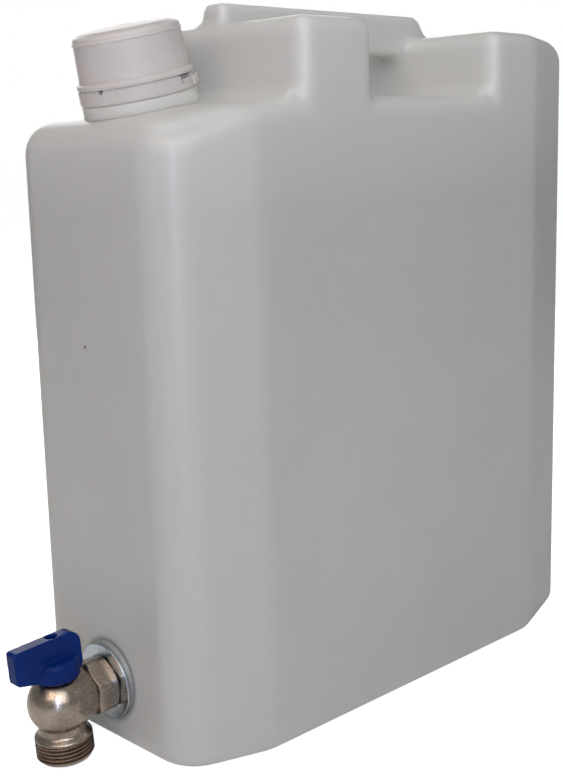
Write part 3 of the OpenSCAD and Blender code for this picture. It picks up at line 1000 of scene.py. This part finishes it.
class WATERCAN_OT_cap(bpy.types.Operator):
    """Makes the screw cap and the ring that stays on the neck"""

    bl_idname = "watercan.cap"
    bl_label = "Cap and ring"

    def execute(self, context):
        plastic = cached(cap_plastic)
        h, r, b, i = CAP_HEIGHT, CAP_R, BAND_R, CAP_BORE
        cap = bmesh.new()
        lathe(
            cap,
            rounded([
                (i, 0, 0.3),
                (b - 0.1, 0, 0.5),
                (b, 2.1, 0.5),
                (SKIRT_R, 2.7, 0.3),
                (r, h - 5.4, 0.2),
                (r + 0.4, h - 5.1, 0.2),
                (r + 0.4, h - 4.4, 0.2),
                (r, h - 4.1, 0.2),
                (r - 0.3, h - 2.2, 2.0),
                (r - 4.2, h - 0.7, 2.5),
                (r - 14, h, 4),
                (0, h, 0),
                (0, h - 2, 0),
                (i - 1.6, h - 2, 0.5),
                (i, h - 4.6, 0.5),
            ]),
            Matrix.Translation((0, 0, CAP_Z)),
            steps=128,
        )
        ridge = [(i + 0.4, -0.9), (i - 0.6, -0.25), (i - 0.6, 0.25), (i + 0.4, 0.9)]
        helix(cap, ridge, 4.0, 2.0, Matrix.Translation((0, 0, 19.5)))
        finish_piece("cap_shell", cap, NECK, "cap", plastic, ["screw_cap"])

        ring = bmesh.new()
        lathe(
            ring,
            rounded([
                (RING_BORE, 0, 0.3),
                (RING_BORE + 1, -0.45, 0.2),
                (b - 0.2, -0.45, 0.4),
                (b, 0.6, 0.3),
                (b, RING_HEIGHT, 0.4),
                (RING_BORE, RING_HEIGHT, 0.3),
            ]),
            steps=128,
        )
        notches = bmesh.new()
        torn = ((158, 2.6, 1.4), (195, 2.2, 1.1), (282, 2.0, 3.2), (290, 7.0, 1.3))
        for azimuth, width, depth in torn:
            turn = Matrix.Rotation(math.radians(azimuth), 4, "Z")
            shape = Matrix.Diagonal((6, width, 2 * depth, 1))
            place = turn @ Matrix.Translation((b, 0, RING_HEIGHT)) @ shape
            bmesh.ops.create_cube(notches, size=1, matrix=place)
        ring = cut(ring, melt(notches, 0.25, 1))
        top = RING_HEIGHT + RING_GAP - 0.05
        land = [(24.2, RING_HEIGHT - 0.5), (25.7, RING_HEIGHT - 0.5), (25.7, top), (24.2, top)]
        for start, end in ((-60, 154), (162, 192), (198, 278)):
            sweep = math.radians(end - start)
            lathe(ring, land, steps=round((end - start) / 3), angle=sweep, start=math.radians(start))
        tab = rounded([(24.5, 0.6, 0), (b + 1.4, 0.6, 0.5), (b + 1.3, 4.7, 0.6), (24.5, 4.7, 0)])
        lathe(ring, tab, steps=14, angle=math.radians(30), start=math.radians(-61))
        place = NECK @ Matrix.Translation((0, 0, RING_Z))
        finish_piece("ring_shell", ring, place, "can_and_tap", plastic, ["tamper_ring"])
        dress("cap_liner", cached(soft_foam))
        return {"FINISHED"}


def valve_bores():
    """Closed shape of all bores of the valve body."""
    tool = bmesh.new()
    bmesh.ops.create_uvsphere(tool, u_segments=48, v_segments=24, radius=BALL_CHAMBER_R)
    bore = [(0, 0), (BALL_CHAMBER_R, 0), (BALL_CHAMBER_R, 9.6), (10.7, 9.6), (10.7, 18), (0, 18)]
    lathe(tool, bore, ALONG_X, steps=64)
    d = OUTLET_DROP
    outlet = [
        (0, -d - 1),
        (9.72, -d - 1),
        (9.72, -d + 8.2),
        (5.6, -d + 8.2),
        (5.6, -9.6),
        (6.85, -9.6),
        (6.85, 0),
        (0, 0),
    ]
    lathe(tool, outlet, steps=64)
    stem = [(0, 0), (5.7, 0), (5.7, 11.2), (4.06, 11.2), (4.06, 18), (0, 18)]
    lathe(tool, stem, steps=48)
    return melt(tool, 0.35, 1)


class WATERCAN_OT_valve(bpy.types.Operator):
    """Makes the cast valve body with its outlet thread"""

    bl_idname = "watercan.valve"
    bl_label = "Valve body"

    def execute(self, context):
        d, o, n, t = OUTLET_DROP, OUTLET_R, OUTLET_NECK_R, OUTLET_HEIGHT
        casting = bmesh.new()
        bmesh.ops.create_uvsphere(casting, u_segments=64, v_segments=32, radius=CHAMBER_R)
        barrel = rounded([(0, 0, 0), (BARREL_R, 0, 0), (BARREL_R, BARREL_END, 0.8), (0, BARREL_END, 0)])
        lathe(casting, barrel, ALONG_X, steps=80)
        blend = [(0, 2.9), (14.2, 2.9), (12.2, 12.6), (0, 12.6)]
        lathe(casting, blend, ALONG_X, steps=80)
        stem_boss = [(0, 0), (7.6, 0), (7.6, 16), (0, 16)]
        lathe(casting, stem_boss, steps=64)
        collar = rounded([
            (0, -d + 10, 0),
            (o, -d + 10, 0),
            (o, -d + t - 1.6, 0.6),
            (n, -d + t + 0.4, 1.5),
            (n, 0, 0),
            (0, 0, 0),
        ])
        lathe(casting, collar, steps=96)
        core = o - 1.16
        spout = rounded([(0, -d, 0), (core, -d, 0.6), (core, -d + 11, 0), (0, -d + 11, 0)])
        lathe(casting, spout, steps=96)
        casting = melt(casting, 0.5, 3)
        casting = cut(casting, valve_bores())
        cast = cached(nickel_brass)
        finish_piece(
            "valve_casting", casting, VALVE, "can_and_tap", cast, ["valve_body"], sharp=50
        )

        thread = bmesh.new()
        section = [(core - 0.3, -0.86), (o, -0.16), (o, 0.16), (core - 0.3, 0.86)]
        helix(thread, section, THREAD_PITCH, 4.9, Matrix.Translation((0, 0, -d + 1.0)), steps=72)
        worn = cached(machined_nickel)
        finish_piece("outlet_thread", thread, VALVE, "can_and_tap", worn, sharp=30)
        return {"FINISHED"}


class WATERCAN_OT_lever(bpy.types.Operator):
    """Makes the blue lever and dresses its screw"""

    bl_idname = "watercan.lever"
    bl_label = "Lever"

    def execute(self, context):
        lever = melt(node_copy("lever"), 0.4, 4)
        paint = cached(blue_coat)
        finish_piece("lever_casting", lever, PLAIN, "lever_group", paint, ["lever"], sharp=60)
        dress("lever_screw", cached(bright_zinc))
        return {"FINISHED"}


class WATERCAN_OT_clamping(bpy.types.Operator):
    """Makes the hexagon, washers and nut that clamp the tap in the wall"""

    bl_idname = "watercan.clamping"
    bl_label = "Clamping parts"

    def execute(self, context):
        nickel = cached(nickel_brass)
        zinc = cached(bright_zinc)
        hexagon = node_copy("end_connector")
        finish_piece(
            "hexagon", hexagon, PLAIN, "can_and_tap", nickel, ["end_connector"], 30, 0.25
        )
        washer = bmesh.new()
        outline = rounded([(10.78, -2.9, 0.3), (18, -2.9, 0.45), (18, -1.3, 0.3), (10.78, -1.3, 0.2)])
        lathe(washer, outline, ALONG_X, steps=128)
        finish_piece("washer", washer, TAP, "can_and_tap", zinc, ["outer_washer"])
        dress("inner_washer", zinc)
        dress("inner_gasket", cached(black_rubber))
        dress("lock_nut", cached(plain_brass))
        return {"FINISHED"}


class WATERCAN_OT_inner_parts(bpy.types.Operator):
    """Dresses the ball, seats, stem and seals inside the tap"""

    bl_idname = "watercan.inner_parts"
    bl_label = "Parts inside the tap"

    def execute(self, context):
        dress("valve_ball", cached(polished))
        for node in ("inlet_seat", "outlet_seat"):
            dress(node, cached(white_seat))
        dress("valve_stem", cached(plain_brass))
        dress("stem_orings", cached(black_rubber))
        return {"FINISHED"}


def area_light(name, place, aim, size, power, tint):
    """Large soft light at a place, facing aim."""
    data = bpy.data.lights.new(name, "AREA")
    data.shape = "RECTANGLE"
    data.size, data.size_y = size
    data.energy = power
    data.color = tint
    lamp = bpy.data.objects.new(name, data)
    lamp.location = place
    lamp.rotation_mode = "QUATERNION"
    lamp.rotation_quaternion = (Vector(aim) - Vector(place)).to_track_quat("-Z", "Y")
    bpy.context.scene.collection.objects.link(lamp)
    return lamp


class WATERCAN_OT_studio(bpy.types.Operator):
    """Sets up the pale floor, the soft light and the camera"""

    bl_idname = "watercan.studio"
    bl_label = "Studio"

    def execute(self, context):
        look = context.scene.container_studio
        floor = bmesh.new()
        bmesh.ops.create_circle(floor, cap_ends=True, segments=96, radius=12)
        mesh = bpy.data.meshes.new("floor")
        floor.to_mesh(mesh)
        floor.free()
        ground = bpy.data.objects.new("floor", mesh)
        context.scene.collection.objects.link(ground)
        pale = finish_material(
            "floor_paper",
            tuple(look.floor_tint),
            tuple(v * 0.985 for v in look.floor_tint),
            0.9,
            broad=2.0,
            settings={"Emission Color": (1, 1, 1, 1), "Specular IOR Level": 0.1},
        )
        graph = Graph(pale.node_tree)
        shader = next(n for n in pale.node_tree.nodes if n.type == "BSDF_PRINCIPLED")
        seen = graph.add("ShaderNodeMapRange", {"To Max": look.floor_glow})
        graph.link(graph.add("ShaderNodeLightPath").outputs["Is Camera Ray"], seen.inputs["Value"])
        graph.link(seen.outputs["Result"], shader.inputs["Emission Strength"])
        mesh.materials.append(pale)

        world = bpy.data.worlds.new("studio")
        world.use_nodes = True
        world.node_tree.nodes.clear()
        graph = Graph(world.node_tree)
        rays = graph.add("ShaderNodeLightPath")
        dim = graph.add("ShaderNodeBackground", {"Color": (0.95, 0.97, 1.0, 1), "Strength": look.sky})
        dark = graph.add("ShaderNodeBackground", {"Color": (0.95, 0.97, 1.0, 1), "Strength": look.glossy_sky})
        bright = graph.add("ShaderNodeBackground", {"Color": (1, 1, 1, 1), "Strength": 1.0})
        shine = graph.add("ShaderNodeMixShader")
        graph.link(rays.outputs["Is Glossy Ray"], shine.inputs[0])
        graph.link(dim.outputs["Background"], shine.inputs[1])
        graph.link(dark.outputs["Background"], shine.inputs[2])
        mixed = graph.add("ShaderNodeMixShader")
        graph.link(rays.outputs["Is Camera Ray"], mixed.inputs[0])
        graph.link(shine.outputs["Shader"], mixed.inputs[1])
        graph.link(bright.outputs["Background"], mixed.inputs[2])
        out = graph.add("ShaderNodeOutputWorld")
        graph.link(mixed.outputs["Shader"], out.inputs["Surface"])
        context.scene.world = world

        middle = (0, 0, 0.17)
        area_light("key", (-0.5, -0.8, 0.7), middle, (0.7, 0.7), look.key, (1.0, 1.0, 0.97))
        area_light("front", (-1.1, -0.35, 0.9), (-0.1, 0, 0.25), (0.6, 0.6), look.front, (1.0, 0.79, 0.65))
        area_light("top", (-0.3, 0, 1.4), (-0.05, 0, 0.3), (0.8, 0.8), look.top, (1.0, 0.98, 0.94))
        area_light("back", (0.6, 1.05, 0.5), middle, (0.9, 0.9), look.back, (1.0, 1.0, 1.0))
        area_light("strip", (-0.95, -0.98, 0.45), middle, (0.1, 0.9), look.strip, (0.56, 0.68, 1.0))

        yaw, pitch, roll = math.radians(46.36), math.radians(11.184), math.radians(-1.535)
        forward = Vector((
            math.cos(yaw) * math.cos(pitch),
            math.sin(yaw) * math.cos(pitch),
            -math.sin(pitch),
        ))
        level = Vector((math.sin(yaw), -math.cos(yaw), 0))
        upright = level.cross(forward)
        right = math.cos(roll) * level + math.sin(roll) * upright
        up = math.cos(roll) * upright - math.sin(roll) * level
        data = bpy.data.cameras.new("camera")
        data.lens = look.lens
        data.sensor_width = 36
        data.clip_start, data.clip_end = 0.01, 50
        camera = bpy.data.objects.new("camera", data)
        pose = Matrix((right, up, -forward)).transposed().to_4x4()
        pose.translation = (-0.46025, -0.45039, 0.273585)
        camera.matrix_world = pose
        context.scene.collection.objects.link(camera)
        context.scene.camera = camera
        context.scene.view_settings.view_transform = "Standard"
        return {"FINISHED"}


class WATERCAN_PT_panel(bpy.types.Panel):
    """Buttons that make the container piece by piece"""

    bl_idname = "WATERCAN_PT_panel"
    bl_label = "Water container"
    bl_space_type = "VIEW_3D"
    bl_region_type = "UI"
    bl_category = "Container"

    def draw(self, context):
        for name, operators in STEPS.items():
            settings = getattr(context.scene, name)
            column = self.layout.column()
            for key in settings.bl_rna.properties.keys():
                if key not in ("rna_type", "name"):
                    column.prop(settings, key)
            for operator in operators:
                column.operator(operator.bl_idname)


SETTINGS = {
    "container_can": CanSettings,
    "container_cap": CapSettings,
    "container_tap": TapSettings,
    "container_studio": StudioSettings,
}
STEPS = {
    "container_studio": [WATERCAN_OT_studio],
    "container_can": [WATERCAN_OT_can],
    "container_cap": [WATERCAN_OT_cap],
    "container_tap": [
        WATERCAN_OT_valve,
        WATERCAN_OT_lever,
        WATERCAN_OT_clamping,
        WATERCAN_OT_inner_parts,
    ],
}


def register():
    for name, group in SETTINGS.items():
        bpy.utils.register_class(group)
        setattr(bpy.types.Scene, name, PointerProperty(type=group))
    for operators in STEPS.values():
        for operator in operators:
            bpy.utils.register_class(operator)
    bpy.utils.register_class(WATERCAN_PT_panel)


def unregister():
    bpy.utils.unregister_class(WATERCAN_PT_panel)
    for operators in reversed(STEPS.values()):
        for operator in reversed(operators):
            bpy.utils.unregister_class(operator)
    for name, group in reversed(SETTINGS.items()):
        delattr(bpy.types.Scene, name)
        bpy.utils.unregister_class(group)


def main():
    register()
    for operators in STEPS.values():
        for operator in operators:
            space, call = operator.bl_idname.split(".")
            getattr(getattr(bpy.ops, space), call)()


if __name__ == "__main__":
    main()
